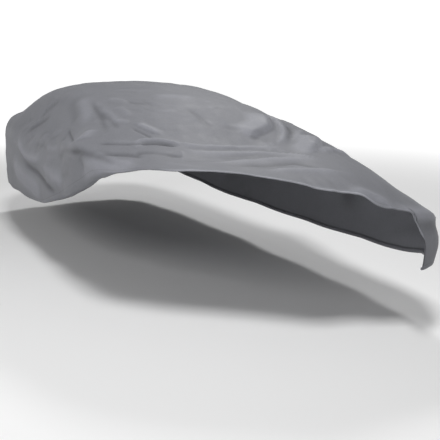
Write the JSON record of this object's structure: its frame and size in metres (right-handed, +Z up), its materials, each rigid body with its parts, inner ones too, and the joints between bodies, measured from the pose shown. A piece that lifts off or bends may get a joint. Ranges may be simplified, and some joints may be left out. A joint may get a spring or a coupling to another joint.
{
  "type": "car cover",
  "caption": "Fitted car cover of plain grey nonwoven cloth, draped hollow as over a saloon car, with its front right corner drawn back and its hem turned under.",
  "frame": {"origin": "point on the underside of the cloth at the middle of the roof's ridge, where the cover rests on what it covers; mount roof_rest", "axes": "+X to the cover's front, +Y to its left, +Z up"},
  "size_m": [4.7218, 1.9243, 1.1004],
  "materials": {
    "grey_nonwoven": "dull, fine grained, soft sheen"
  },
  "bodies": {
    "root": {"cover_cloth": "grey_nonwoven"}
  },
  "joints": []
}
